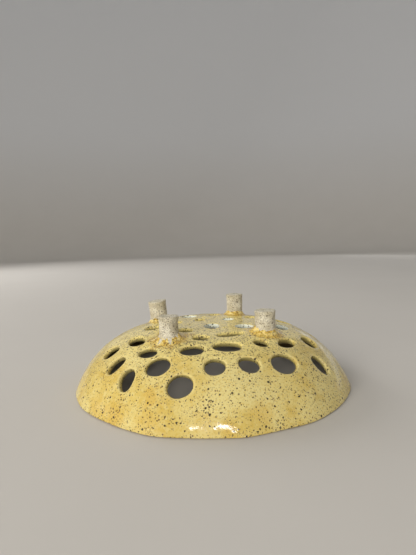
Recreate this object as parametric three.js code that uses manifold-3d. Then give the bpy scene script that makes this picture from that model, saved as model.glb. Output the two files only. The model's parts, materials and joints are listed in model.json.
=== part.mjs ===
// A hand-built stoneware flower frog: a low pierced dome that stands on its rim, with four rolled
// clay studs on the crown, each bedded in a smeared collar of soft clay.
//
// Units are millimetres. +Z is up, the rim stands on z = 0, and the origin is the middle of the
// footprint. Bearings are degrees counterclockwise from +X, seen from above; the front is -Y.

import * as THREE from 'three';
import { mergeVertices } from 'three/addons/utils/BufferGeometryUtils.js';
import Module from 'manifold-3d';

const wasm = await Module();
wasm.setup();

// ---- dome ----
const RIM_RADIUS = 130;
const CROWN_HEIGHT = 54;
const WALL = 5;
const PROFILE_SQUARENESS = 4.1; // higher keeps the crown flat for longer
const PROFILE_FULLNESS = 1.24; // higher makes the shoulder rounder
const OUTER_STEPS = 9;
const INNER_STEPS = 7;
const DOME_SEGMENTS = 56;

// The rim was trimmed by hand. It runs almost straight between these soft corners.
// Each is [corner's bearing, share of the radius lost midway along the flat after it].
const RIM_FLATS = [
  [-162, 0.002], [-146, 0.018], [-110, 0.018], [-80, 0.018], [-56, 0.008], [-16, 0.014],
  [14, 0.018], [52, 0.018], [88, 0.018], [124, 0.018], [160, 0.016],
];
const RIM_CORNER_SWELL = 0.007; // share of the radius that a corner stands out

// ---- stem holes, cut by hand square to the clay ----
// Each is [bearing, distance from the axis, width around, length up the slope, twist].
const STEM_HOLES = [
  // low on the front wall
  [-127.5, 111, 14, 20.5, 26],
  [-103, 110, 20.5, 18.5, 0],
  // shoulder
  [-140, 104.5, 14, 18.5, 0],
  [-116, 97.5, 20, 20, 0],
  [-89, 96, 16.5, 17, 0],
  [-73, 96.5, 17, 16.5, 0],
  [-55.5, 100.5, 25, 19.5, 0],
  [-35, 111, 17, 19, 0],
  [2, 104, 18, 19, 0],
  [28, 103, 22, 17, 0],
  [49, 104, 18, 19, 10],
  [69, 101, 20, 17, 0],
  [90, 105, 21, 18, 0],
  [112, 101, 18, 19, -10],
  [133, 103, 22, 17, 0],
  [153, 104, 19, 18, 0],
  [174, 104, 18, 20, 0],
  // upper shoulder
  [-155, 99, 18, 16, 0],
  [-128, 86.5, 18, 13, 0],
  [-102, 77, 19.5, 16, 0],
  [-80, 73, 24, 17, 0],
  [-56, 74, 13, 14, 0],
  [-40, 84, 22, 12, 0],
  [-21, 95, 20, 16, 0],
  [14, 78, 17, 16, 0],
  [46, 78, 20, 15, 0],
  [80, 76, 18, 15, 0],
  [104, 76, 20, 15, 0],
  [126, 76, 17, 17, 0],
  [-148, 78.5, 22, 14, 0],
  // crown
  [-172, 57, 17, 15, 0],
  [-130, 37, 14.5, 12, 0],
  [-100, 53, 15, 12, 0],
  [-69.5, 47, 25, 11, 0],
  [-10, 68, 20, 13, 0],
  [-88, 12, 13.5, 20, 0],
  [-27, 35, 15.5, 16, 0],
  [45, 25, 10, 11, 0],
  [35, 50, 11, 12, 0],
  [119.5, 48, 15, 18, 0],
  [85, 45, 11, 12, 0],
  [165, 36, 12, 11, 0],
  [121, 22, 11, 10, 0],
];
const HOLE_SIDES = 12;
const HOLE_CUT_DEPTH = 14; // either side of the outer face, enough to clear the wall on a slope

// ---- studs on the crown ----
const STUDS = [
  { place: 'front_left', x: -37, y: -49, radius: 8.2, length: 19.5, lean: 0, leanBearing: 180 },
  { place: 'front_right', x: 48.6, y: -37, radius: 9.0, length: 20, lean: 1, leanBearing: 180 },
  { place: 'back_right', x: 26.7, y: 49, radius: 8.5, length: 22.9, lean: 0, leanBearing: 0 },
  { place: 'back_left', x: -55, y: 35, radius: 9.0, length: 21.2, lean: 6, leanBearing: 180 },
];
const STUD_SIDES = 20;
const STUD_EDGE = 1.2; // worn edge at the tip
const STUD_ROOT = 10; // how far the blank reaches below the crown before it is trimmed to fit
const COLLAR_SPREAD = 4.4; // how far the smeared clay spreads past the stud
const COLLAR_HEIGHT = 8;
const COLLAR_LIP = 1.1; // thickness of the smeared clay at its two edges

const GAP = 0.3; // left between bedded pieces

// ---- materials ----
const GLAZE = { color: 0xc9b67a, roughness: 0.2, metalness: 0 };
const BARE_CLAY = { color: 0xcfc2a6, roughness: 0.85, metalness: 0 };
const SMEARED_CLAY = { color: 0xc79f52, roughness: 0.45, metalness: 0 };

const radians = THREE.MathUtils.degToRad;

// Height of the dome's outer face at a distance from the axis.
function domeHeight(distance) {
  const share = Math.min(distance / RIM_RADIUS, 1);
  return CROWN_HEIGHT * Math.pow(1 - Math.pow(share, PROFILE_SQUARENESS), 1 / PROFILE_FULLNESS);
}

// Downward slope of the outer face, as height lost for each millimetre outwards.
function domeSlope(distance) {
  const step = 0.05;
  return (domeHeight(distance - step) - domeHeight(distance + step)) / (2 * step);
}

// How much the hand-trimmed rim stands in or out at a bearing, as a share of its radius.
function rimTrim(bearing) {
  for (let i = 0; i < RIM_FLATS.length; i += 1) {
    const [start, dip] = RIM_FLATS[i];
    const end = i + 1 < RIM_FLATS.length ? RIM_FLATS[i + 1][0] : RIM_FLATS[0][0] + 360;
    const past = (bearing - start + 720) % 360;
    if (past <= end - start) {
      return RIM_CORNER_SWELL - dip * Math.sin((Math.PI * past) / (end - start));
    }
  }
  return 0;
}

// Points down one face of the dome from the axis to the rim, moved inwards or outwards.
function facePoints(offset, steps) {
  const points = [];
  for (let i = 0; i <= steps; i += 1) {
    const share = Math.sin((Math.PI / 2) * (i / steps));
    const distance = RIM_RADIUS * Math.min(share, 0.9995);
    const slope = i === 0 ? 0 : domeSlope(distance);
    const length = Math.hypot(slope, 1);
    const x = distance + (offset * slope) / length;
    const z = domeHeight(distance) + offset / length;
    points.push(new THREE.Vector2(i === 0 ? 0 : x, i === steps ? 0 : Math.max(z, 0)));
  }
  return points;
}

// Presses the hand-trimmed outline into a dome, full at the rim and fading to nothing on the crown.
function trimOutline(geometry) {
  const position = geometry.getAttribute('position');
  for (let i = 0; i < position.count; i += 1) {
    const x = position.getX(i);
    const y = position.getY(i);
    const bearing = THREE.MathUtils.radToDeg(Math.atan2(y, x));
    const share = Math.hypot(x, y) / RIM_RADIUS;
    const scale = 1 + rimTrim(bearing) * Math.pow(share, 6);
    position.setXY(i, x * scale, y * scale);
  }
}

// A turned solid about +Z from a profile of (distance, height) points that starts and ends on the axis.
function turned(points, segments) {
  const geometry = new THREE.LatheGeometry(points, segments);
  geometry.rotateX(Math.PI / 2);
  return geometry;
}

function toManifold(geometry) {
  const plain = geometry.clone();
  plain.deleteAttribute('normal');
  plain.deleteAttribute('uv');
  const welded = mergeVertices(plain, 1e-4);
  const corners = welded.index.array;
  const kept = [];
  for (let i = 0; i < corners.length; i += 3) {
    const [a, b, c] = [corners[i], corners[i + 1], corners[i + 2]];
    if (a !== b && b !== c && c !== a) {
      kept.push(a, b, c);
    }
  }
  const solid = new wasm.Manifold(new wasm.Mesh({
    numProp: 3,
    vertProperties: new Float32Array(welded.getAttribute('position').array),
    triVerts: new Uint32Array(kept),
  }));
  return solid;
}

function toGeometry(solid) {
  const mesh = solid.getMesh();
  const geometry = new THREE.BufferGeometry();
  geometry.setAttribute('position', new THREE.BufferAttribute(new Float32Array(mesh.vertProperties), 3));
  geometry.setIndex(new THREE.BufferAttribute(new Uint32Array(mesh.triVerts), 1));
  geometry.computeVertexNormals();
  return geometry;
}

function makePiece(name, solid, finish) {
  const mesh = new THREE.Mesh(toGeometry(solid), new THREE.MeshStandardMaterial(finish));
  mesh.name = name;
  return mesh;
}

// The dome before it is pierced and hollowed, grown by a clearance.
function domeEnvelope(clearance) {
  const outline = facePoints(clearance, OUTER_STEPS);
  const geometry = turned([new THREE.Vector2(0, 0), ...outline.reverse()], DOME_SEGMENTS);
  trimOutline(geometry);
  return toManifold(geometry);
}

function domeBlank() {
  const outer = facePoints(0, OUTER_STEPS);
  const inner = facePoints(-WALL, INNER_STEPS);
  const geometry = turned([...inner, ...outer.reverse()], DOME_SEGMENTS);
  trimOutline(geometry);
  return toManifold(geometry);
}

// The oval plug of clay that one stem hole takes out of the wall.
function holePlug([bearing, distance, width, length, twist]) {
  const outline = new THREE.Shape();
  outline.absellipse(0, 0, width / 2, length / 2, 0, Math.PI * 2, false, radians(twist));
  const oval = new THREE.Shape(outline.getSpacedPoints(HOLE_SIDES).slice(0, HOLE_SIDES));
  const geometry = new THREE.ExtrudeGeometry(oval, { depth: 2 * HOLE_CUT_DEPTH, bevelEnabled: false });
  geometry.translate(0, 0, -HOLE_CUT_DEPTH);
  const tilt = Math.atan(domeSlope(distance));
  geometry.rotateX(tilt);
  geometry.translate(0, -distance, domeHeight(distance));
  geometry.rotateZ(radians(bearing + 90));
  return toManifold(geometry);
}

function makeDome() {
  let dome = domeBlank();
  for (const hole of STEM_HOLES) {
    dome = dome.subtract(holePlug(hole));
  }
  return makePiece('dome_shell', dome, GLAZE);
}

// Stands a piece built about the origin on the crown, leaning with its stud.
function standOnCrown(geometry, stud) {
  const bearing = radians(stud.leanBearing);
  geometry.rotateZ(-bearing);
  geometry.rotateY(radians(stud.lean));
  geometry.rotateZ(bearing);
  geometry.translate(stud.x, stud.y, domeHeight(Math.hypot(stud.x, stud.y)));
  return geometry;
}

function studBlank(stud, clearance) {
  const radius = stud.radius + clearance;
  const profile = [
    new THREE.Vector2(0, -STUD_ROOT),
    new THREE.Vector2(radius, -STUD_ROOT),
    new THREE.Vector2(radius, stud.length - STUD_EDGE),
    new THREE.Vector2(radius - 0.3 * STUD_EDGE, stud.length - 0.3 * STUD_EDGE),
    new THREE.Vector2(radius - STUD_EDGE, stud.length),
    new THREE.Vector2(0, stud.length),
  ];
  return toManifold(standOnCrown(turned(profile, STUD_SIDES), stud));
}

// A flared ring, concave like clay smoothed down with a fingertip.
function collarBlank(stud) {
  const core = stud.radius / 2;
  const top = stud.radius + GAP + COLLAR_LIP;
  const foot = stud.radius + COLLAR_SPREAD;
  const rise = COLLAR_HEIGHT - COLLAR_LIP;
  const profile = [
    new THREE.Vector2(core, -STUD_ROOT),
    new THREE.Vector2(foot, -STUD_ROOT),
    new THREE.Vector2(foot, COLLAR_LIP),
    new THREE.Vector2(top + 0.42 * (foot - top), COLLAR_LIP + 0.22 * rise),
    new THREE.Vector2(top + 0.12 * (foot - top), COLLAR_LIP + 0.56 * rise),
    new THREE.Vector2(top, COLLAR_HEIGHT),
    new THREE.Vector2(core, COLLAR_HEIGHT),
    new THREE.Vector2(core, -STUD_ROOT),
  ];
  return toManifold(standOnCrown(turned(profile, STUD_SIDES), stud));
}

const frog = new THREE.Group();
frog.add(makeDome());

const seat = domeEnvelope(GAP);
for (const stud of STUDS) {
  const body = studBlank(stud, 0).subtract(seat);
  const collar = collarBlank(stud).subtract(seat).subtract(studBlank(stud, GAP));
  frog.add(makePiece(`foot_${stud.place}`, body, BARE_CLAY));
  frog.add(makePiece(`luting_collar_${stud.place}`, collar, SMEARED_CLAY));
}

export default frog;
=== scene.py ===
"""Looks for the stoneware flower frog: a pierced dome in speckled yellow glaze with four bare clay studs.

Shapes are worked out in millimetres in the model's frame and turned into metres as each mesh is made.
Bearings are degrees counterclockwise from +X, seen from above; the front is -Y.
"""
import json
import math
import random

import bpy
import numpy as np
from mathutils import Matrix, Vector, kdtree, noise
from mathutils.geometry import delaunay_2d_cdt


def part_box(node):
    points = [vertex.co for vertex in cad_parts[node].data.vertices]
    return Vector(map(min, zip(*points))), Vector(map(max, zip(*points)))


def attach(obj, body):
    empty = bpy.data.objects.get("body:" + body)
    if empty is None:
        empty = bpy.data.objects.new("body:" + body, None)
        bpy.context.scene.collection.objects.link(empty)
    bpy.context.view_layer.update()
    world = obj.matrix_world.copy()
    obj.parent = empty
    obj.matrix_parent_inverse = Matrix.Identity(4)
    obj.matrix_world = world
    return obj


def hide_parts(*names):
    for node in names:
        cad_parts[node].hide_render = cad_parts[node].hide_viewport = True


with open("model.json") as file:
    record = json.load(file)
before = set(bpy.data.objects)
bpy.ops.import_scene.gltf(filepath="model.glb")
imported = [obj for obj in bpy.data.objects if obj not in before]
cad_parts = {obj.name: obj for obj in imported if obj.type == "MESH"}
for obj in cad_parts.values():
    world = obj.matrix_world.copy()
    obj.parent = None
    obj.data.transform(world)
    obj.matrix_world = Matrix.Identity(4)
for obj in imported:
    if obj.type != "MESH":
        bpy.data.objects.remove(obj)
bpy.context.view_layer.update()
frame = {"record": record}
MM = 0.001

# ---- dome, repeated from part.mjs ----
RIM_RADIUS = 130.0
CROWN_HEIGHT = 54.0
WALL = 5.0
PROFILE_SQUARENESS = 4.1
PROFILE_FULLNESS = 1.24
RIM_CORNER_SWELL = 0.007
# The hand-trimmed rim: each corner's bearing, and the share of the radius lost midway to the next one.
RIM_FLATS = [
    (-162, 0.002), (-146, 0.018), (-110, 0.018), (-80, 0.018), (-56, 0.008), (-16, 0.014),
    (14, 0.018), (52, 0.018), (88, 0.018), (124, 0.018), (160, 0.016),
]

# Stem holes, repeated from part.mjs: bearing, distance from the axis, width, length up the slope, twist.
STEM_HOLES = [
    # low on the front wall
    (-127.5, 111, 14, 20.5, 26),
    (-103, 110, 20.5, 18.5, 0),
    # shoulder
    (-140, 104.5, 14, 18.5, 0),
    (-116, 97.5, 20, 20, 0),
    (-89, 96, 16.5, 17, 0),
    (-73, 96.5, 17, 16.5, 0),
    (-55.5, 100.5, 25, 19.5, 0),
    (-35, 111, 17, 19, 0),
    (2, 104, 18, 19, 0),
    (28, 103, 22, 17, 0),
    (49, 104, 18, 19, 10),
    (69, 101, 20, 17, 0),
    (90, 105, 21, 18, 0),
    (112, 101, 18, 19, -10),
    (133, 103, 22, 17, 0),
    (153, 104, 19, 18, 0),
    (174, 104, 18, 20, 0),
    # upper shoulder
    (-155, 99, 18, 16, 0),
    (-128, 86.5, 18, 13, 0),
    (-102, 77, 19.5, 16, 0),
    (-80, 73, 24, 17, 0),
    (-56, 74, 13, 14, 0),
    (-40, 84, 22, 12, 0),
    (-21, 95, 20, 16, 0),
    (14, 78, 17, 16, 0),
    (46, 78, 20, 15, 0),
    (80, 76, 18, 15, 0),
    (104, 76, 20, 15, 0),
    (126, 76, 17, 17, 0),
    (-148, 78.5, 22, 14, 0),
    # crown
    (-172, 57, 17, 15, 0),
    (-130, 37, 14.5, 12, 0),
    (-100, 53, 15, 12, 0),
    (-69.5, 47, 25, 11, 0),
    (-10, 68, 20, 13, 0),
    (-88, 12, 13.5, 20, 0),
    (-27, 35, 15.5, 16, 0),
    (45, 25, 10, 11, 0),
    (35, 50, 11, 12, 0),
    (119.5, 48, 15, 18, 0),
    (85, 45, 11, 12, 0),
    (165, 36, 12, 11, 0),
    (121, 22, 11, 10, 0),
]

# ---- hand work that the CAD leaves out ----
HOLE_LIP = 2.2            # how far in from a hole's edge the glazed lip rounds over
HOLE_GLAZE = 0.35         # how far the glaze and the rounding close a hole in
RIM_LIP = 1.0             # the same for the rim
LIP_SQUARENESS = 2.3      # 2 is a half round; higher leaves a flatter cut wall
RIM_SQUARENESS = 4.0
HOLE_WOBBLE = 0.032       # share of a hole's radius that its outline wanders
TRIM_BLUR = 2.5           # degrees over which the rim's corners are softened
RIM_LIFT = 0.25           # how unevenly the rim sits on the table
RIM_LIFT_HEIGHT = 12.0    # how far up the wall that unevenness reaches
DENTS = [(48.0, 0.75), (19.0, 0.28), (8.0, 0.07)]   # size and depth of the hand marks in the clay
# Burst bubbles in the glaze: bearing, distance from the axis, radius.
BLISTERS = [(103, 33, 2.4), (-58, 24, 1.4), (-118, 62, 1.3), (31, 88, 1.8), (-166, 22, 1.5)]

# ---- mesh fineness ----
LIP_RINGS = 6
LIP_APRON = [0.8, 1.9]    # how far past the lip two more rings lie
FIELD_SPACING = 2.1
HOLE_SPACING = 1.3
RIM_POINTS = 400
HOLE_CLEARANCE = 2.8      # how far past a hole's lip the plain grid begins
RIM_CLEARANCE = 2.9       # the same for the rim's
BLISTER_RINGS = [0, 0.25, 0.5, 0.75, 1.0, 1.25, 1.6]   # in the blister's radii
BLISTER_POINTS = 16
MERGE_DISTANCE = 1e-5     # points closer than this count as one
FAR = 60.0                # stands for a distance past any lip, collar or glaze line

rng = random.Random(20)


# ---------------------------------------------------------------- the dome's surface

def profile_table():
    """Down the outer face: arc length, distance from the axis, height, and the normal's two parts."""
    share = 1 - (1 - np.linspace(0, 1, 3001)) ** 2.2
    distance = RIM_RADIUS * share
    height = CROWN_HEIGHT * (1 - share ** PROFILE_SQUARENESS) ** (1 / PROFILE_FULLNESS)
    arc = np.concatenate([[0], np.cumsum(np.hypot(np.diff(distance), np.diff(height)))])
    run = np.gradient(distance, arc)
    fall = np.gradient(height, arc)
    length = np.hypot(run, fall)
    return arc, distance, height, -fall / length, run / length


ARC, DISTANCE, HEIGHT, NORMAL_OUT, NORMAL_UP = profile_table()
MIDDLE_HEIGHT = HEIGHT - NORMAL_UP * WALL / 2
RIM_ARC = float(ARC[np.argmax(MIDDLE_HEIGHT <= 0)])


def trim_table():
    """How far the hand-trimmed rim stands in or out at each quarter degree, softened at its corners."""
    bearings = np.arange(0, 360, 0.25)
    trim = np.zeros(len(bearings))
    ends = [corner for corner, _ in RIM_FLATS[1:]] + [RIM_FLATS[0][0] + 360]
    for (start, dip), end in zip(RIM_FLATS, ends):
        past = (bearings - start) % 360
        inside = past <= end - start
        lost = dip * np.sin(np.pi * past / (end - start))
        trim[inside] = (RIM_CORNER_SWELL - lost)[inside]
    away = np.minimum(bearings, 360 - bearings)
    kernel = np.exp(-0.5 * (away / TRIM_BLUR) ** 2)
    kernel /= kernel.sum()
    return bearings, np.real(np.fft.ifft(np.fft.fft(trim) * np.fft.fft(kernel)))


TRIM_BEARINGS, TRIM = trim_table()


def rim_trim(bearing):
    return np.interp(np.degrees(bearing) % 360, TRIM_BEARINGS, TRIM, period=360)


def hand_relief(points, seed):
    """Millimetres that the clay stands proud at each point, from fingers and the paddle."""
    relief = np.zeros(len(points))
    for index, (size, depth) in enumerate(DENTS):
        shift = Vector((seed * 17.3 + index * 5.1, seed * 3.7, index * 11.9))
        relief += depth * np.array([noise.noise(Vector(p) / size + shift) for p in points])
    return relief


def blister_distance(flat):
    """How far each point lies from the nearest blister's middle, in that blister's radii."""
    away = []
    for bearing, distance, radius in BLISTERS:
        away.append(np.hypot(*(flat - flat_point(bearing, distance)).T) / radius)
    return np.min(away, axis=0)


def blister_relief(flat):
    """Small burst bubbles in the glaze: a raised ring round a shallow pit."""
    away = blister_distance(flat)
    return 0.45 * np.exp(-((away - 1.0) / 0.35) ** 2) - 0.5 * np.exp(-(away / 0.6) ** 2)


def flat_point(bearing, distance):
    """A place on the dome laid out flat: its bearing, at its arc length from the crown."""
    arc = np.interp(distance, DISTANCE, ARC)
    angle = math.radians(bearing)
    return np.array([arc * math.cos(angle), arc * math.sin(angle)])


def on_dome(flat, depth, seed=1.0):
    """The 3-D places of flat points at a depth below the outer face, with the hand marks pressed in."""
    arc = np.hypot(flat[:, 0], flat[:, 1])
    bearing = np.arctan2(flat[:, 1], flat[:, 0])
    out = np.interp(arc, ARC, DISTANCE)
    up = np.interp(arc, ARC, HEIGHT)
    normal_out = np.interp(arc, ARC, NORMAL_OUT)
    normal_up = np.interp(arc, ARC, NORMAL_UP)
    trim = 1 + rim_trim(bearing) * (out / RIM_RADIUS) ** 6
    plain = np.column_stack([out * np.cos(bearing), out * np.sin(bearing), up])
    lift = hand_relief(plain, seed) + blister_relief(flat) - depth
    radius = (out + normal_out * lift) * trim
    height = up + normal_up * lift
    return np.column_stack([radius * np.cos(bearing), radius * np.sin(bearing), height])


# ---------------------------------------------------------------- stem holes

class Hole:
    """One hand-cut oval, laid out flat."""

    def __init__(self, bearing, distance, width, length, twist):
        self.centre = flat_point(bearing, distance)
        arc = math.hypot(*self.centre)
        outward = self.centre / arc
        self.around = np.array([-outward[1], outward[0]])
        self.up = -outward
        self.stretch = arc / distance
        self.half = (width / 2, length / 2)
        self.twist = math.radians(twist)
        self.phase = [rng.uniform(0, math.tau) for _ in range(3)]

    def radius(self, angle):
        """The cut's radius at an angle about its centre, before the flat layout stretches it."""
        turned = angle - self.twist
        across, along = self.half
        oval = across * along / np.hypot(along * np.cos(turned), across * np.sin(turned))
        wobble = sum(np.sin(k * angle + p) / (k - 1) for k, p in zip((2, 3, 5), self.phase))
        return oval * (1 + HOLE_WOBBLE * wobble) - HOLE_GLAZE

    def outline(self, spacing, grow=0.0):
        """Points round the edge, moved outwards by grow."""
        count = max(24, int(math.pi * (self.half[0] + self.half[1] + 2 * grow) / spacing))
        angle = np.linspace(0, math.tau, count, endpoint=False)
        radius = self.radius(angle)
        edge = np.column_stack([radius * np.cos(angle), radius * np.sin(angle)])
        tangent = np.roll(edge, -1, axis=0) - np.roll(edge, 1, axis=0)
        tangent /= np.linalg.norm(tangent, axis=1)[:, None]
        edge = edge + grow * np.column_stack([tangent[:, 1], -tangent[:, 0]])
        return self.centre + edge[:, :1] * self.stretch * self.around + edge[:, 1:] * self.up

    def holds(self, flat):
        away = flat - self.centre
        x = away @ self.around / self.stretch
        y = away @ self.up
        return np.hypot(x, y) < self.radius(np.arctan2(y, x)) - 1e-6


HOLES = [Hole(*row) for row in STEM_HOLES]
RIM_CUT = len(HOLES)      # the rim's number among the cuts, after the holes
# Holes in the crown whose cut walls get a painted reflection, a pale bluish white, by bearing and distance.
REFLECTING_HOLES = {(-88, 12), (-27, 35), (119.5, 48), (45, 25), (-10, 68)}


def edge_distance(flat):
    """Millimetres from each flat point to the nearest hole's edge, and which hole that is."""
    outlines = [hole.outline(0.3) for hole in HOLES]
    samples = np.vstack(outlines)
    numbers = np.repeat(np.arange(len(HOLES)), [len(outline) for outline in outlines])
    tree = kdtree.KDTree(len(samples))
    for index, (x, y) in enumerate(samples):
        tree.insert((x, y, 0), index)
    tree.balance()
    found = [tree.find((x, y, 0)) for x, y in flat]
    return np.array([hit[2] for hit in found]), numbers[[hit[1] for hit in found]]


def lip_distances(width, squareness):
    """Distances from an edge at which a rounded lip needs a ring of points."""
    turn = np.linspace(0, math.pi / 2, LIP_RINGS + 1)
    rounded = width * (1 - np.cos(turn) ** (2 / squareness))
    return list(rounded) + [width + extra for extra in LIP_APRON]


def half_thickness(distance, width, squareness):
    """Half the wall's thickness at a distance from an edge whose lip is that wide."""
    past = np.clip(1 - distance / width, 0, 1)
    return WALL / 2 * (1 - past ** squareness) ** (1 / squareness)


# ---------------------------------------------------------------- studs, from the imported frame

STUD_COLUMNS = 96
STUD_ROWS = 42
STUD_ROOT = 3.5           # how far a stud runs on below the dome's outer face
STUD_REACH = 30.0         # how far past a stud its glaze line matters
TIP_ROUND = 0.55          # radius of the tip's edge
TIP_TURNS = [18, 36, 54, 72, 90]            # degrees round the tip's edge
TIP_SHARES = [0.75, 0.6, 0.42, 0.22]        # of the radius, across the flat tip
COLLAR_COLUMNS = 128
COLLAR_ROWS = 34
COLLAR_RISE = 8.0         # how far it climbs the stud
COLLAR_TUCK = 0.6         # how far its top edge lies inside the stud's side
COLLAR_SKIRT = 1.6        # how far its hidden underside lies below its outer edge
COLLAR_FADE_ROWS = 6      # rows over which its outer edge thins out
FINGER_WIDTH = 24.0       # degrees round the stud, at a finger's root
# Fingers of bare clay that run down between the drips on one collar: bearing and length.
FRONT_LEFT_FINGERS = [(-131, 6.2), (-79, 7.2), (-38, 2.5), (18, 5.0), (72, 3.5), (118, 6.0), (176, 4.5)]


class Stud:
    """A rolled clay foot: its tip and axis come from the record, and its radius from its CAD node.

    glaze_line is how far down the collar's flare the glaze starts, lobes is how much that line wanders,
    spread is how far the collar reaches out, and fingers are where bare clay runs down through the glaze.
    """

    def __init__(self, place, glaze_line, lobes, spread, fingers=()):
        self.place = place
        mounts = {m["name"]: m for m in frame["record"]["mounts"]}
        mount = mounts[f"foot_tip_{place}"]
        self.tip = Vector(mount["pos_m"]) / MM
        self.axis = Vector(mount["axis"]).normalized()
        low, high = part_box(f"foot_{place}")
        self.radius = min(high[0] - low[0], high[1] - low[1]) / MM / 2
        self.glaze_line = glaze_line
        self.lobes = lobes
        self.fingers = fingers
        self.spread = spread
        self.run = 0.5 * (COLLAR_RISE + spread) * math.pi / 2   # along the flare, top to bottom
        self.seed = rng.uniform(0, 50)
        self.root = self.meet_dome()
        self.length = (self.tip - self.root).length
        self.flat = flat_point(math.degrees(math.atan2(self.root.y, self.root.x)),
                               math.hypot(self.root.x, self.root.y))

    def meet_dome(self):
        """Where the stud's axis meets the dome's outer face."""
        reach = 0.0
        for _ in range(40):
            point = self.tip - self.axis * reach
            face = float(np.interp(math.hypot(point.x, point.y), DISTANCE, HEIGHT))
            reach += (point.z - face) / self.axis.z
        return self.tip - self.axis * reach

    def wander(self, angle, scale, salt):
        """Smooth noise round the stud, the same at 0 and 360 degrees."""
        turn = Vector((math.cos(angle) * scale, math.sin(angle) * scale, self.seed + salt))
        return noise.noise(turn)


STUDS = [
    Stud("front_left", glaze_line=4.9, lobes=0.45, spread=6.6, fingers=FRONT_LEFT_FINGERS),
    Stud("front_right", glaze_line=3.8, lobes=0.45, spread=6.6),
    Stud("back_right", glaze_line=3.2, lobes=0.35, spread=5.0),
    Stud("back_left", glaze_line=4.6, lobes=0.35, spread=4.0),
]


def glaze_line(stud, angle):
    """Millimetres down the collar's flare at which the glaze starts, with its drips and bare fingers."""
    drips = stud.wander(angle, 1.3, 3.0) * 2.4 + stud.wander(angle, 4.6, 9.0) * 4.2
    finger = 0.0
    for bearing, length in stud.fingers:
        away = abs(math.degrees(math.remainder(angle - math.radians(bearing), math.tau)))
        finger = max(finger, length * (1 - away / (FINGER_WIDTH / 2)))
    return stud.glaze_line + stud.lobes * drips + finger


# ---------------------------------------------------------------- meshes

def make_mesh(name, points, faces, attributes, materials):
    """A smooth-shaded object from points in millimetres, with named point attributes."""
    mesh = bpy.data.meshes.new(name)
    mesh.from_pydata([tuple(p) for p in points * MM], [], faces)
    for key, values in attributes.items():
        layer = mesh.attributes.new(key, "FLOAT", "POINT")
        layer.data.foreach_set("value", np.asarray(values, np.float32))
    mesh.polygons.foreach_set("use_smooth", [True] * len(mesh.polygons))
    for material in materials:
        mesh.materials.append(material)
    mesh.update()
    piece = bpy.data.objects.new(name, mesh)
    bpy.context.scene.collection.objects.link(piece)
    return piece


def rim_ring(distance):
    """Flat points round the dome, that far in from the rim."""
    turn = np.linspace(0, math.tau, RIM_POINTS, endpoint=False)
    return np.column_stack([np.cos(turn), np.sin(turn)]) * (RIM_ARC - distance)


def cut_rings():
    """Rings of flat points round every cut: each hole, then the rim.

    Returns the points, how far each lies from the hole it rings (FAR round the rim, and 0 right on any cut),
    the number of the cut that each is right on (-1 for none), and the segments that join them along cuts.
    """
    points, distances, cuts, segments = [], [], [], []

    def add_ring(ring, distance, cut):
        first = len(points)
        points.extend(ring)
        distances.extend([distance] * len(ring))
        cuts.extend([cut if distance == 0 else -1] * len(ring))
        if distance == 0:
            segments.extend((first + i, first + (i + 1) % len(ring)) for i in range(len(ring)))

    for number, hole in enumerate(HOLES):
        for distance in lip_distances(HOLE_LIP, LIP_SQUARENESS):
            add_ring(hole.outline(HOLE_SPACING, distance), distance, number)
    for distance in lip_distances(RIM_LIP, RIM_SQUARENESS):
        add_ring(rim_ring(distance), 0 if distance == 0 else FAR, RIM_CUT)
    return points, distances, cuts, segments


def field_points():
    """A triangular grid clear of the cuts, and rings round each blister.

    Returns the points and how far each lies from the nearest hole.
    """
    rows = int(RIM_ARC / (FIELD_SPACING * math.sqrt(0.75))) + 1
    columns = int(RIM_ARC / FIELD_SPACING) + 1
    field = []
    for row in range(-rows, rows + 1):
        start = (row % 2) * FIELD_SPACING / 2
        y = row * FIELD_SPACING * math.sqrt(0.75)
        field.extend((start + column * FIELD_SPACING, y) for column in range(-columns, columns + 1))
    for bearing, distance, radius in BLISTERS:
        centre = flat_point(bearing, distance)
        for share in BLISTER_RINGS:
            turn = np.linspace(0, math.tau, BLISTER_POINTS, endpoint=False) + share
            ring = centre + radius * share * np.column_stack([np.cos(turn), np.sin(turn)])
            field.extend(ring if share else ring[:1])
    field = np.array(field)
    field = field[np.hypot(*field.T) < RIM_ARC - RIM_LIP - RIM_CLEARANCE]
    away, _ = edge_distance(field)
    for hole in HOLES:
        away[hole.holds(field)] = 0
    kept = away > HOLE_LIP + HOLE_CLEARANCE
    return field[kept], away[kept]


def dome_layout():
    """The dome laid out flat and cut into triangles.

    Returns the flat points, how far each lies from the nearest hole, whether each is right on a cut, and the
    triangles.
    """
    points, distances, cuts, segments = cut_rings()
    field, away = field_points()
    points = np.vstack([points, field])
    cuts = np.array(cuts + [-1] * len(field))
    distances = np.minimum(np.append(distances, away), edge_distance(points)[0])
    distances[cuts >= 0] = 0
    buried = np.zeros(len(points), bool)
    for number, hole in enumerate(HOLES):
        buried |= hole.holds(points) & (cuts != number)
    free = np.flatnonzero(~buried)
    new_number = {old: new for new, old in enumerate(free)}
    loops = [(new_number[a], new_number[b]) for a, b in segments if a in new_number and b in new_number]
    found = delaunay_2d_cdt([Vector(p) for p in points[free]], loops, [], 0, MERGE_DISTANCE)
    flat = np.array([tuple(v) for v in found[0]])
    origin = [free[came_from[0]] if came_from else -1 for came_from in found[3]]
    distances = np.array([distances[i] if i >= 0 else 0 for i in origin])
    cuts = np.array([cuts[i] if i >= 0 else -1 for i in origin])
    triangles = []
    for face in found[2]:
        touched = cuts[list(face)]
        fills_hole = 0 <= touched[0] < RIM_CUT and (touched == touched[0]).all()
        if not fills_hole:
            triangles.append(tuple(face))
    return flat, distances, cuts >= 0, triangles


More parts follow.
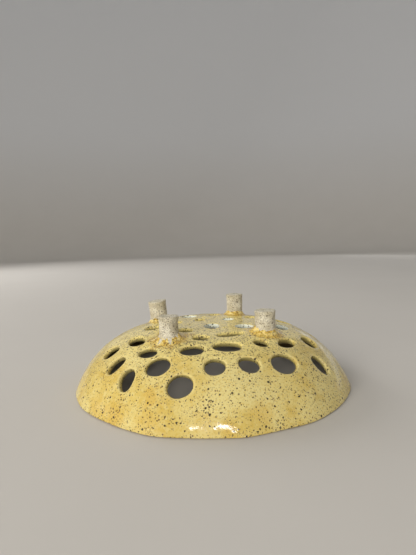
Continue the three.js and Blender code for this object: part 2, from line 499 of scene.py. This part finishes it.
def stud_distance(points):
    """Millimetres that each point lies above the nearest stud's glaze line; below it is negative."""
    level = np.full(len(points), -FAR)
    for stud in STUDS:
        away = points - np.array(stud.root)
        reach = np.hypot(away[:, 0], away[:, 1])
        near = np.flatnonzero(reach < stud.radius + STUD_REACH)
        for i in near:
            line = glaze_line(stud, math.atan2(away[i, 1], away[i, 0]))
            past_collar = reach[i] - stud.radius - stud.spread
            level[i] = max(level[i], line - stud.run - past_collar)
    return level


def build_dome(material):
    """The glazed shell: the flat layout bent into an outer and an inner face, joined along every cut."""
    flat, distance, edge, triangles = dome_layout()
    rim_away = RIM_ARC - np.hypot(flat[:, 0], flat[:, 1])
    half = np.minimum(half_thickness(distance, HOLE_LIP, LIP_SQUARENESS),
                      half_thickness(rim_away, RIM_LIP, RIM_SQUARENESS))
    half[edge] = 0
    outer = on_dome(flat, WALL / 2 - half, seed=1.0)
    inner = on_dome(flat, WALL / 2 + half, seed=4.0)
    middle = (outer + inner) / 2
    outer[edge] = middle[edge]
    inner_number = np.cumsum(~edge) - 1 + len(flat)
    inner_number[edge] = np.flatnonzero(edge)
    points = np.vstack([outer, inner[~edge]])
    bearing = np.arctan2(points[:, 1], points[:, 0])
    sag = RIM_LIFT * (0.5 + 0.5 * np.sin(3 * bearing + 0.6) * np.cos(bearing - 1.1))
    low = points[:, 2] < RIM_LIFT_HEIGHT
    points[low, 2] += (sag * (1 - points[:, 2] / RIM_LIFT_HEIGHT))[low]
    points[:, 2] = np.maximum(points[:, 2], 0)
    faces = []
    for a, b, c in triangles:
        (ax, ay), (bx, by), (cx, cy) = flat[a], flat[b], flat[c]
        if (bx - ax) * (cy - ay) < (cx - ax) * (by - ay):
            b, c = c, b
        faces.append((a, b, c))
        faces.append((int(inner_number[a]), int(inner_number[c]), int(inner_number[b])))

    def on_both_faces(values):
        return np.concatenate([values, values[~edge]])

    # Painted reflection: marks the cut walls of the listed crown holes for a pale bluish white.
    painted_reflection = np.array([float(row[:2] in REFLECTING_HOLES) for row in STEM_HOLES])
    attributes = {
        "lip": on_both_faces(distance),
        "rim": on_both_faces(rim_away),
        "bare": stud_distance(points),
        "inside": np.concatenate([np.zeros(len(flat)), np.minimum(distance, rim_away)[~edge]]),
        "blister": on_both_faces(blister_distance(flat)),
        "painted_reflection": on_both_faces(painted_reflection[edge_distance(flat)[1]]),
    }
    piece = make_mesh("glazed_dome", points, faces, attributes, [material])
    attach(piece, "root")
    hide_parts("dome_shell")
    return piece


def lathe_faces(rows, columns):
    """Quads between rows of columns points each, closed round, with a fan at each end."""
    faces = []
    for row in range(rows - 1):
        for column in range(columns):
            a = row * columns + column
            b = row * columns + (column + 1) % columns
            faces.append((a, b, b + columns, a + columns))
    bottom = rows * columns
    top = bottom + 1
    for column in range(columns):
        follow = (column + 1) % columns
        faces.append((bottom, follow, column))
        faces.append((top, (rows - 1) * columns + column, (rows - 1) * columns + follow))
    return faces


def build_stud(stud, material):
    """A short rolled cylinder, slightly faceted, spread at its tip where it was pressed flat."""
    edge = stud.length - TIP_ROUND
    profile = [(float(height), stud.radius) for height in np.linspace(-STUD_ROOT, edge, STUD_ROWS)]
    for turn in map(math.radians, TIP_TURNS):
        profile.append((edge + TIP_ROUND * math.sin(turn), stud.radius - TIP_ROUND * (1 - math.cos(turn))))
    profile += [(stud.length, stud.radius * share) for share in TIP_SHARES]
    side = stud.axis.orthogonal().normalized()
    other = stud.axis.cross(side)
    points = []
    for height, radius in profile:
        spread = 0.42 * math.exp(-((height - stud.length + 0.6) / 3.0) ** 2)
        foot = 0.5 * math.exp(-(max(height, 0) / 3.0) ** 2)
        for column in range(STUD_COLUMNS):
            angle = math.tau * column / STUD_COLUMNS
            facet = 0.14 * math.sin(3 * angle + stud.seed) + 0.10 * math.sin(5 * angle + 2 * stud.seed)
            where = Vector((math.cos(angle) * 1.2, math.sin(angle) * 1.2, height / 7 + stud.seed))
            lump = 0.34 * noise.noise(where) + 0.16 * noise.noise(where * 3.4)
            share = radius / stud.radius
            reach = radius + (spread + foot + facet + lump) * share
            across = Vector((reach * math.cos(angle), reach * math.sin(angle), stud.seed))
            bump = 0.50 * noise.noise(across / 7.5) + 0.16 * noise.noise(across / 2.2)
            near_tip = min(1.0, max(0.0, (height - stud.length + 4) / 4))
            rise = height + bump * near_tip
            points.append(stud.root + stud.axis * rise
                          + side * (reach * math.cos(angle)) + other * (reach * math.sin(angle)))
    points.append(stud.root - stud.axis * STUD_ROOT)
    points.append(stud.root + stud.axis * (stud.length - 0.05))
    points = np.array([tuple(p) for p in points])
    level = (points - np.array(stud.root)) @ np.array(stud.axis)
    attributes = {"bare": stud.glaze_line - COLLAR_RISE + level + 1.5}
    faces = lathe_faces(len(profile), STUD_COLUMNS)
    piece = make_mesh(f"stud_{stud.place}", points, faces, attributes, [material])
    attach(piece, "root")
    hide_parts(f"foot_{stud.place}")
    return piece


def build_collar(stud, material):
    """Soft clay smeared from the stud out over the dome: a concave flare with an uneven, feathered edge."""
    columns, rows = COLLAR_COLUMNS, COLLAR_ROWS
    points, bare = [], []
    tilt = Vector((stud.axis.x, stud.axis.y)) / stud.axis.z
    for row in range(rows):
        turn = math.pi / 2 * row / (rows - 1)
        for column in range(columns):
            angle = math.tau * column / columns
            rise = COLLAR_RISE + 1.6 * stud.wander(angle, 1.6, 1.0)
            spread = stud.spread + 1.5 * stud.wander(angle, 1.8, 5.0)
            reach = stud.radius - COLLAR_TUCK + (spread + COLLAR_TUCK) * (1 - math.cos(turn))
            height = rise * (1 - math.sin(turn))
            down = stud.run * row / (rows - 1)
            line = glaze_line(stud, angle)
            ridge = stud.wander(angle, 3.4, 7.0) * 0.5 * math.sin(2 * turn)
            bead = 0.30 * math.exp(-((down - line - 0.8) / 0.7) ** 2)
            bead += 0.22 / (1 + math.exp(-(down - line) * 4))
            fade = min(1.0, (rows - 1 - row) / COLLAR_FADE_ROWS)
            height += (ridge + bead) * fade - 0.4 * (1 - fade) ** 2
            x = stud.root.x + reach * math.cos(angle)
            y = stud.root.y + reach * math.sin(angle)
            points.append((x, y, height))
            bare.append(line - down)
    points = np.array(points)
    arc = np.interp(np.hypot(points[:, 0], points[:, 1]), DISTANCE, ARC)
    bearing = np.arctan2(points[:, 1], points[:, 0])
    flat = np.column_stack([arc * np.cos(bearing), arc * np.sin(bearing)])
    face = on_dome(flat, np.zeros(len(flat)))
    points[:, 0] += tilt.x * np.maximum(points[:, 2], 0)
    points[:, 1] += tilt.y * np.maximum(points[:, 2], 0)
    points[:, 2] += face[:, 2]
    low_ring = points[-columns:] - np.array([0, 0, COLLAR_SKIRT])
    hub_top = points[:columns].mean(axis=0)
    hub_bottom = low_ring.mean(axis=0)
    points = np.vstack([points, low_ring, hub_top, hub_bottom])
    bare = np.array(bare + [-9.0] * columns + [9.0, -9.0])
    faces = []
    for row in range(rows):
        for column in range(columns):
            a = row * columns + column
            b = row * columns + (column + 1) % columns
            faces.append((a, a + columns, b + columns, b))
    top = (rows + 1) * columns
    for column in range(columns):
        follow = (column + 1) % columns
        faces.append((top, column, follow))
        faces.append((top + 1, rows * columns + follow, rows * columns + column))
    piece = make_mesh(f"collar_{stud.place}", points, faces, {"bare": bare}, [material])
    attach(piece, "root")
    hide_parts(f"luting_collar_{stud.place}")
    return piece


# ---------------------------------------------------------------- materials

class Shader:
    """One node material, built in plain calls. Positions in it are in millimetres."""

    def __init__(self, name):
        self.material = bpy.data.materials.new(name)
        self.material.use_nodes = True
        self.tree = self.material.node_tree
        self.tree.nodes.clear()
        output = self.node("ShaderNodeOutputMaterial")
        self.surface = self.node("ShaderNodeBsdfPrincipled")
        self.put(output.inputs["Surface"], self.surface.outputs["BSDF"])
        coordinates = self.node("ShaderNodeTexCoord")
        self.place = self.vector("MULTIPLY", coordinates.outputs["Object"], (1 / MM,) * 3)

    def node(self, kind):
        return self.tree.nodes.new(kind)

    def put(self, socket, value):
        if isinstance(value, bpy.types.NodeSocket):
            self.tree.links.new(value, socket)
        elif hasattr(value, "__len__") and socket.type == "RGBA":
            socket.default_value = tuple(value)[:3] + (1.0,)
        else:
            socket.default_value = value

    def vector(self, operation, *values):
        node = self.node("ShaderNodeVectorMath")
        node.operation = operation
        for socket, value in zip(node.inputs, values):
            self.put(socket, value)
        return node.outputs[0]

    def scale(self, vector, factor):
        node = self.node("ShaderNodeVectorMath")
        node.operation = "SCALE"
        self.put(node.inputs[0], vector)
        self.put(node.inputs["Scale"], factor)
        return node.outputs[0]

    def math(self, operation, *values):
        node = self.node("ShaderNodeMath")
        node.operation = operation
        for socket, value in zip(node.inputs, values):
            self.put(socket, value)
        return node.outputs[0]

    def ease(self, value, low, high):
        """0 below low and 1 above high, or the other way round where low is the larger."""
        node = self.node("ShaderNodeMapRange")
        node.interpolation_type = "SMOOTHSTEP"
        flip = low > high
        self.put(node.inputs["Value"], value)
        node.inputs["From Min"].default_value = min(low, high)
        node.inputs["From Max"].default_value = max(low, high)
        node.inputs["To Min"].default_value = 1.0 if flip else 0.0
        node.inputs["To Max"].default_value = 0.0 if flip else 1.0
        return node.outputs["Result"]

    def noise(self, size, detail, shift):
        """Smooth noise from 0 to 1 whose features are about size millimetres across."""
        node = self.node("ShaderNodeTexNoise")
        self.put(node.inputs["Vector"], self.vector("ADD", self.place, (shift, shift * 0.7, -shift)))
        node.inputs["Scale"].default_value = 1 / size
        node.inputs["Detail"].default_value = detail
        return node.outputs["Fac"]

    def swing(self, size, detail, shift):
        """The same noise, swinging either side of 0."""
        return self.math("SUBTRACT", self.noise(size, detail, shift), 0.5)

    def patches(self, size, detail, shift, low, high):
        """Soft patches: 1 where the noise is above high, and 0 where it is below low."""
        return self.ease(self.noise(size, detail, shift), low, high)

    def z_of(self, vector):
        split = self.node("ShaderNodeSeparateXYZ")
        self.put(split.inputs[0], vector)
        return split.outputs["Z"]

    def facing_up(self):
        """How far the surface looks upwards, from -1 to 1."""
        return self.z_of(self.node("ShaderNodeNewGeometry").outputs["Normal"])

    def attribute(self, name):
        node = self.node("ShaderNodeAttribute")
        node.attribute_name = name
        return node.outputs["Fac"]

    def mix(self, factor, first, second):
        """From the first colour to the second as the factor goes from 0 to 1."""
        node = self.node("ShaderNodeMix")
        node.data_type = "RGBA"
        self.put(node.inputs["Factor"], factor)
        self.put(node.inputs[6], first)
        self.put(node.inputs[7], second)
        return node.outputs[2]

    def mix_number(self, factor, first, second):
        node = self.node("ShaderNodeMix")
        self.put(node.inputs[0], factor)
        self.put(node.inputs[2], first)
        self.put(node.inputs[3], second)
        return node.outputs[0]

    def paint(self, base, colour, mask, strength):
        """The base with a colour laid over it where the mask is."""
        return self.mix(self.math("MULTIPLY", mask, strength), base, colour)

    def near(self, bearing, distance, reach, fray):
        """1 at a place on the dome, fading to 0 at a frayed edge reach millimetres away."""
        angle = math.radians(bearing)
        height = float(np.interp(distance, DISTANCE, HEIGHT))
        away = self.node("ShaderNodeVectorMath")
        away.operation = "DISTANCE"
        self.put(away.inputs[0], self.place)
        away.inputs[1].default_value = (distance * math.cos(angle), distance * math.sin(angle), height)
        ragged = self.swing(fray, 3.0, bearing)
        worn = self.math("MULTIPLY_ADD", ragged, reach * 1.6, away.outputs["Value"])
        return self.ease(worn, reach, reach * 0.25)

    def crown(self):
        """1 over the top of the dome and 0 below its shoulder."""
        return self.ease(self.z_of(self.place), 38.0, 52.0)

    def crowding(self, on_dome_face):
        """Where the iron specks gather: in clusters, over the thinly glazed crown, and along the rim."""
        crowd = 0.0
        for bearing, distance, reach in SPECK_CLUSTERS:
            crowd = self.math("MAXIMUM", crowd, self.near(bearing, distance, reach, 5.0))
        if on_dome_face:
            crowd = self.math("MAXIMUM", crowd, self.ease(self.attribute("rim"), 2.2, 0.6))
            crowd = self.math("MAXIMUM", crowd, self.math("MULTIPLY", self.crown(), 0.7))
        return crowd

    def specks(self, spacing, radius, share, shift, crowding, soft):
        """Iron specks: scattered ragged spots of uneven size. Returns their mask and a random tint.

        Each cell of a Voronoi pattern holds one speck or none. The pattern's three random numbers per cell
        say whether it is there, how large it is, and its tint.
        """
        ragged = self.node("ShaderNodeTexNoise")
        self.put(ragged.inputs["Vector"], self.place)
        ragged.inputs["Scale"].default_value = 0.9 / radius
        ragged.inputs["Detail"].default_value = 1.0
        push = self.vector("SUBTRACT", ragged.outputs["Color"], (0.5, 0.5, 0.5))
        pushed = self.vector("ADD", self.place, self.scale(push, radius * 1.5))
        cells = self.node("ShaderNodeTexVoronoi")
        self.put(cells.inputs["Vector"], self.vector("ADD", pushed, (shift, -shift, shift * 0.3)))
        cells.inputs["Scale"].default_value = 1 / spacing
        split = self.node("ShaderNodeSeparateColor")
        self.put(split.inputs[0], cells.outputs["Color"])
        pick, bulk, tint = split.outputs[:3]
        crowd = self.patches(17.0, 2.0, shift, 0.36, 0.66)
        chance = self.math("MULTIPLY_ADD", crowd, share * 0.9, share * 0.3)
        chance = self.math("MULTIPLY_ADD", crowding, 0.50, chance)
        present = self.math("LESS_THAN", pick, chance)
        size = self.math("MULTIPLY_ADD", self.math("POWER", bulk, 2.0), radius * 0.9, radius * 0.55)
        away = self.math("MULTIPLY", cells.outputs["Distance"], spacing)
        depth = self.math("SUBTRACT", 1.0, self.math("DIVIDE", away, size))
        return self.math("MULTIPLY", self.ease(depth, 0.0, soft), present), tint


BUTTER = (0.67, 0.505, 0.140)
BUTTER_PALE = (0.76, 0.635, 0.255)
BUTTER_DEEP = (0.62, 0.415, 0.070)
AMBER = (0.64, 0.40, 0.055)
GOLD = (0.80, 0.54, 0.095)
GOLD_PALE = (0.88, 0.70, 0.26)
STRAW = (0.90, 0.735, 0.25)
RUST = (0.20, 0.100, 0.020)
# Painted shade: olive for the cut walls that face downwards.
SHADE_OLIVE = (0.30, 0.255, 0.095)
# Painted shade: dark olive brown over the inside face.
INSIDE_SHADE = (0.10, 0.074, 0.034)
# Painted reflection: pale bluish white on the cut walls of some crown holes.
REFLECTION_WHITE = (0.82, 0.86, 0.74)
CLAY = (0.60, 0.54, 0.385)
CLAY_PALE = (0.80, 0.75, 0.60)
CLAY_DARK = (0.36, 0.30, 0.20)
IRON = (0.030, 0.020, 0.016)
IRON_SOFT = (0.17, 0.105, 0.060)
IRON_PLUM = (0.13, 0.075, 0.065)
GLAZE_IOR = 1.45

# Where thick glaze pooled and fired amber: bearing, distance from the axis, reach, and depth of colour.
AMBER_POOLS = [
    (-113, 117, 11, 0.60), (-126, 127, 17, 0.50), (-137, 127, 14, 0.40), (-112, 126, 15, 0.45),
    (-74, 124, 12, 0.35), (-94, 126, 14, 0.25), (40, 124, 20, 0.45), (95, 122, 14, 0.40),
    (150, 120, 20, 0.45),
]
# Where iron specks gather: bearing, distance from the axis, reach.
SPECK_CLUSTERS = [
    (-61, 116, 5), (-56, 120, 6), (-93, 120, 9), (-127, 126, 8), (-63, 31, 5), (-76, 90, 7),
    (-20, 118, 7), (-45, 112, 12), (-38, 104, 8), (-66, 84, 10), (-96, 86, 9), (-50, 90, 8),
    (-84, 60, 10), (-118, 108, 7), (30, 90, 8), (75, 118, 9), (128, 112, 9), (178, 118, 8),
]


def glaze_colour(shader):
    """Butter-yellow glaze, mottled, and deeper where it ran thick."""
    colour = shader.mix(shader.patches(38.0, 2.0, 4.0, 0.38, 0.66), BUTTER, BUTTER_PALE)
    colour = shader.paint(colour, BUTTER_DEEP, shader.patches(19.0, 3.0, 31.0, 0.52, 0.74), 0.75)
    colour = shader.paint(colour, BUTTER_PALE, shader.patches(4.2, 4.0, 8.0, 0.48, 0.64), 0.50)
    return shader.paint(colour, BUTTER_DEEP, shader.patches(1.4, 3.0, 55.0, 0.50, 0.64), 0.50)


def add_pools(shader, colour):
    """Straw-coloured over the crown, and amber where the glaze pooled."""
    colour = shader.paint(colour, STRAW, shader.crown(), 0.70)
    for bearing, distance, reach, depth in AMBER_POOLS:
        colour = shader.paint(colour, AMBER, shader.near(bearing, distance, reach, 6.0), depth)
    return colour


def add_flashing(shader, colour, level):
    """Golden, curdled glaze round a stud's root, by the height above its glaze line."""
    blotch = shader.math("MULTIPLY_ADD", shader.swing(5.0, 3.0, 61.0), 15.0, level)
    flashed = shader.ease(blotch, -13.0, -4.0)
    gilt = shader.mix(shader.patches(3.4, 2.0, 47.0, 0.42, 0.58), AMBER, GOLD)
    runny = shader.patches(4.0, 2.0, 33.0, 0.42, 0.54)
    fresh = shader.math("MULTIPLY", shader.ease(level, -6.0, -2.0), runny)
    gilt = shader.mix(fresh, gilt, GOLD_PALE)
    colour = shader.paint(colour, gilt, flashed, 0.85)
    curdled = shader.math("MULTIPLY", shader.patches(1.1, 2.0, 71.0, 0.48, 0.58), flashed)
    curdled = shader.math("MULTIPLY", curdled, shader.math("SUBTRACT", 1.0, fresh))
    return shader.paint(colour, RUST, curdled, 0.72)


def add_dome_marks(shader, colour):
    """Smudges on the crown, pale hole edges, painted shade on the cut walls that face downwards, a painted
    reflection on some crown holes' cut walls, blisters, and painted shade over the inside face.
    """
    smudge, _ = shader.specks(2.3, 1.00, 0.55, 19.0, shader.crown(), soft=0.6)
    colour = shader.paint(colour, IRON_SOFT, shader.math("MULTIPLY", smudge, shader.crown()), 0.88)
    lip = shader.attribute("lip")
    thin = shader.math("MULTIPLY", shader.ease(lip, 3.0, 1.0), shader.ease(lip, 0.2, 1.0))
    colour = shader.paint(colour, BUTTER_PALE, thin, 0.45)
    # Painted shade: the cut walls that face downwards are darkened to olive, standing for the shade under
    # each hole's upper edge.
    downward_shade = shader.ease(shader.facing_up(), 0.40, -0.20)
    colour = shader.paint(colour, SHADE_OLIVE, shader.math("MULTIPLY", shader.ease(lip, 0.9, 0.3), downward_shade), 0.85)
    # Painted reflection: the cut walls of the listed crown holes are tinted pale bluish white, standing for
    # a window reflected in them.
    painted_reflection = shader.math("MULTIPLY", shader.attribute("painted_reflection"), shader.ease(lip, 1.3, 0.6))
    colour = shader.paint(colour, REFLECTION_WHITE, painted_reflection, 0.85)
    blister = shader.attribute("blister")
    from_ring = shader.math("ABSOLUTE", shader.math("SUBTRACT", blister, 1.1))
    colour = shader.paint(colour, BUTTER_PALE, shader.ease(from_ring, 0.5, 0.15), 0.75)
    colour = shader.paint(colour, IRON, shader.ease(blister, 0.5, 0.3), 0.90)
    # Painted shade: the inside face, away from the cut edges, is darkened to a dark olive brown, standing
    # for the shade under the dome.
    return shader.paint(colour, INSIDE_SHADE, shader.ease(shader.attribute("inside"), 0.9, 2.4), 0.85)


def add_specks(shader, colour, crowding, strength=1.0, scale=1.0):
    """Iron specks of three sizes, the smaller ones half hidden. Returns the larger ones' mask too."""
    faint, tint = shader.specks(1.35 * scale, 0.60 * scale, 0.90, 3.0, crowding, soft=0.75)
    colour = shader.paint(colour, shader.mix(tint, IRON_SOFT, IRON_PLUM), faint, 0.58 * strength)
    middle, tint = shader.specks(1.5 * scale, 0.60 * scale, 0.75, 41.0, crowding, soft=0.40)
    dark = shader.mix(shader.ease(tint, 0.35, 0.9), IRON, IRON_SOFT)
    colour = shader.paint(colour, dark, middle, 0.88 * strength)
    large, _ = shader.specks(2.8 * scale, 0.80 * scale, 0.40, 77.0, crowding, soft=0.3)
    colour = shader.paint(colour, IRON, large, 0.95 * strength)
    return colour, shader.math("MAXIMUM", middle, large)


def clay_colour(shader):
    """Bare buff stoneware, toasted unevenly by the kiln."""
    colour = shader.mix(shader.patches(9.0, 3.0, 12.0, 0.35, 0.7), CLAY, CLAY_PALE)
    return shader.paint(colour, CLAY_DARK, shader.patches(1.0, 3.0, 2.0, 0.48, 0.62), 0.60)


def glazed_and_bare(name, on_dome_face=False):
    """The one fired surface, glazed or bare by how far it lies above a stud's glaze line."""
    shader = Shader(name)
    surface = shader.surface
    level = shader.attribute("bare")
    frayed = shader.math("MULTIPLY_ADD", shader.swing(1.9, 3.0, 5.0), 3.4, level)
    bare = shader.ease(frayed, -0.2, 0.2)

    glaze = glaze_colour(shader)
    if on_dome_face:
        glaze = add_pools(shader, glaze)
    glaze = add_flashing(shader, glaze, level)
    if on_dome_face:
        glaze = add_dome_marks(shader, glaze)
    glaze, raised = add_specks(shader, glaze, shader.crowding(on_dome_face))
    clay, _ = add_specks(shader, clay_colour(shader), 0.35, strength=0.85, scale=0.80)
    shader.put(surface.inputs["Base Color"], shader.mix(bare, glaze, clay))

    gloss = shader.math("MULTIPLY_ADD", shader.noise(9.0, 2.0, 15.0), 0.10, 0.07)
    shader.put(surface.inputs["Roughness"], shader.mix_number(bare, gloss, 0.85))
    surface.inputs["IOR"].default_value = GLAZE_IOR

    peel = shader.math("MULTIPLY", shader.swing(3.0, 1.5, 22.0), 0.06)
    swell = shader.math("MULTIPLY", shader.swing(11.0, 1.0, 90.0), 0.40)
    proud = shader.math("MULTIPLY_ADD", raised, 0.03, shader.math("ADD", peel, swell))
    tooth = shader.math("MULTIPLY", shader.noise(0.8, 4.0, 6.0), 0.35)
    bump = shader.node("ShaderNodeBump")
    bump.inputs["Distance"].default_value = MM
    shader.put(bump.inputs["Height"], shader.mix_number(bare, proud, tooth))
    shader.put(surface.inputs["Normal"], bump.outputs["Normal"])
    return shader.material


# ---------------------------------------------------------------- stage, lights and camera

FLOOR_RADIUS = 3.2         # metres, as are the rest of the stage and the lamps
WALL_BEND = 0.9
WALL_TOP = 3.6
FLOOR_TONES = [(0.58, 0.545, 0.49), (0.61, 0.575, 0.52)]
WALL_TONE = (0.70, 0.70, 0.70)
ROOM_COLOUR = (0.90, 0.91, 0.93, 1.0)
ROOM_STRENGTH = 0.42
LAMP_AIM = (0.0, 0.0, 0.03)
WARM = (1.0, 0.97, 0.92)
WHITE = (1.0, 1.0, 1.0)
COOL = (0.98, 0.98, 1.0)
# Name, place, width and height, watts, colour, and whether the glaze mirrors it. The key and back lamps only
# light the scene; the glaze mirrors the rest, and the windows leave the small bright reflections near the
# front rim.
LAMPS = [
    ("key", (-1.65, -2.05, 1.0), (1.4, 1.0), 44.0, WARM, False),
    ("back", (-1.7, 1.1, 1.1), (2.0, 0.9), 22.0, COOL, False),
    ("curtain", (0.0, 2.6, 0.75), (4.0, 1.1), 3.0, COOL, True),
    ("right", (1.75, 1.90, 0.22), (2.0, 0.30), 1.0, (0.96, 0.98, 1.0), True),
    ("left", (-2.2, -0.6, 0.34), (2.2, 0.30), 1.3, (1.0, 0.99, 0.96), True),
    ("window_left", (-0.50, -2.45, 0.98), (0.10, 0.26), 6.0, WHITE, True),
    ("window_right", (0.02, -2.50, 1.00), (0.20, 0.17), 8.0, WHITE, True),
    ("window_far", (0.30, -2.48, 1.00), (0.04, 0.12), 0.8, WHITE, True),
]


def build_stage():
    """A pale round floor that sweeps up into a pale wall on every side."""
    profile = [(0.5, 0.0), (1.5, 0.0), (FLOOR_RADIUS, 0.0)]
    for turn in np.linspace(0, math.pi / 2, 17)[1:]:
        profile.append((FLOOR_RADIUS + WALL_BEND * math.sin(turn), WALL_BEND * (1 - math.cos(turn))))
    profile.append((FLOOR_RADIUS + WALL_BEND, WALL_TOP))
    columns = 128
    turns = [math.tau * column / columns for column in range(columns)]
    points = [(r * math.cos(a), r * math.sin(a), z) for r, z in profile for a in turns]
    points.append((0.0, 0.0, 0.0))
    faces = [(len(points) - 1, column, (column + 1) % columns) for column in range(columns)]
    for row in range(len(profile) - 1):
        for column in range(columns):
            a = row * columns + column
            b = row * columns + (column + 1) % columns
            faces.append((a, a + columns, b + columns, b))
    mesh = bpy.data.meshes.new("sweep")
    mesh.from_pydata(points, [], faces)
    mesh.polygons.foreach_set("use_smooth", [True] * len(mesh.polygons))
    shader = Shader("pale_sweep")
    floor_tone = shader.mix(shader.noise(180.0, 2.0, 0.0), *FLOOR_TONES)
    tone = shader.mix(shader.ease(shader.z_of(shader.place), 100.0, 1400.0), floor_tone, WALL_TONE)
    shader.put(shader.surface.inputs["Base Color"], tone)
    shader.surface.inputs["Roughness"].default_value = 0.8
    mesh.materials.append(shader.material)
    sweep = bpy.data.objects.new("sweep", mesh)
    bpy.context.scene.collection.objects.link(sweep)


def add_lamp(name, place, size, watts, colour, mirrored):
    data = bpy.data.lights.new(name, "AREA")
    data.shape = "RECTANGLE"
    data.size, data.size_y = size
    data.energy = watts
    data.color = colour
    lamp = bpy.data.objects.new(name, data)
    lamp.location = place
    lamp.rotation_euler = (Vector(LAMP_AIM) - Vector(place)).to_track_quat("-Z", "Y").to_euler()
    lamp.visible_glossy = mirrored
    lamp.visible_camera = False
    bpy.context.scene.collection.objects.link(lamp)


def light_scene():
    world = bpy.data.worlds.new("soft_room")
    world.use_nodes = True
    background = world.node_tree.nodes["Background"]
    background.inputs["Color"].default_value = ROOM_COLOUR
    background.inputs["Strength"].default_value = ROOM_STRENGTH
    bpy.context.scene.world = world
    for row in LAMPS:
        add_lamp(*row)


# The view: from the front, a little above the crown, with a wide phone lens held not quite level.
CAMERA_BACK = 3.004        # in rim radii
CAMERA_UP = 1.044
CAMERA_SIDE = -0.013
CAMERA_PITCH = 5.34        # degrees down
CAMERA_ROLL = -1.6
CAMERA_LENS = 26.0


def place_camera():
    data = bpy.data.cameras.new("camera")
    data.sensor_width = 36.0
    data.lens = CAMERA_LENS
    camera = bpy.data.objects.new("camera", data)
    pitch, roll = math.radians(CAMERA_PITCH), math.radians(CAMERA_ROLL)
    ahead = Vector((0, math.cos(pitch), -math.sin(pitch)))
    level_right = Vector((1, 0, 0))
    level_up = level_right.cross(ahead)
    right = level_right * math.cos(roll) + level_up * math.sin(roll)
    up = level_up * math.cos(roll) - level_right * math.sin(roll)
    turn = Matrix((right, up, -ahead)).transposed()
    place = Vector((CAMERA_SIDE, -CAMERA_BACK, CAMERA_UP)) * RIM_RADIUS * MM
    camera.matrix_world = Matrix.Translation(place) @ turn.to_4x4()
    bpy.context.scene.collection.objects.link(camera)
    bpy.context.scene.camera = camera


place_camera()
build_stage()
light_scene()
dome_material = glazed_and_bare("speckled_glaze", on_dome_face=True)
collar_material = glazed_and_bare("flashed_clay")
stud_material = glazed_and_bare("bare_stoneware")
build_dome(dome_material)
for stud in STUDS:
    build_stud(stud, stud_material)
    build_collar(stud, collar_material)
bpy.context.scene.view_settings.view_transform = "Standard"
